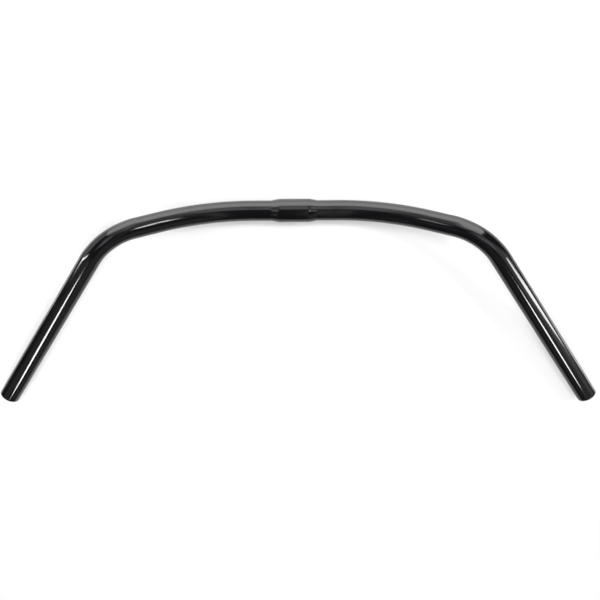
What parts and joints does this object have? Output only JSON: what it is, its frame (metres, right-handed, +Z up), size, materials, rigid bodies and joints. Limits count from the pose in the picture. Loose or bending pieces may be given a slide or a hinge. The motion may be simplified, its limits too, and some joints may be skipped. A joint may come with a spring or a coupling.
{
  "type": "cruiser handlebar",
  "caption": "Swept-back cruiser bicycle handlebar: a bent round tube with long splayed grip runs and a thicker tapered sleeve at the middle, where a stem clamps it.",
  "frame": {"origin": "on the clamp sleeve's axis, halfway along it", "axes": "+X along the clamp towards the right grip, +Y to the front, away from the rider, +Z up from the table that the bar lies on"},
  "size_m": [0.6818, 0.2305, 0.0509],
  "materials": {
    "tube_paint": "gloss black stove enamel on steel tube",
    "sleeve_paint": "gloss black stove enamel, slightly mottled, on a steel sleeve"
  },
  "bodies": {
    "root": {"bar_tube": "tube_paint", "clamp_sleeve": "sleeve_paint"}
  },
  "joints": []
}
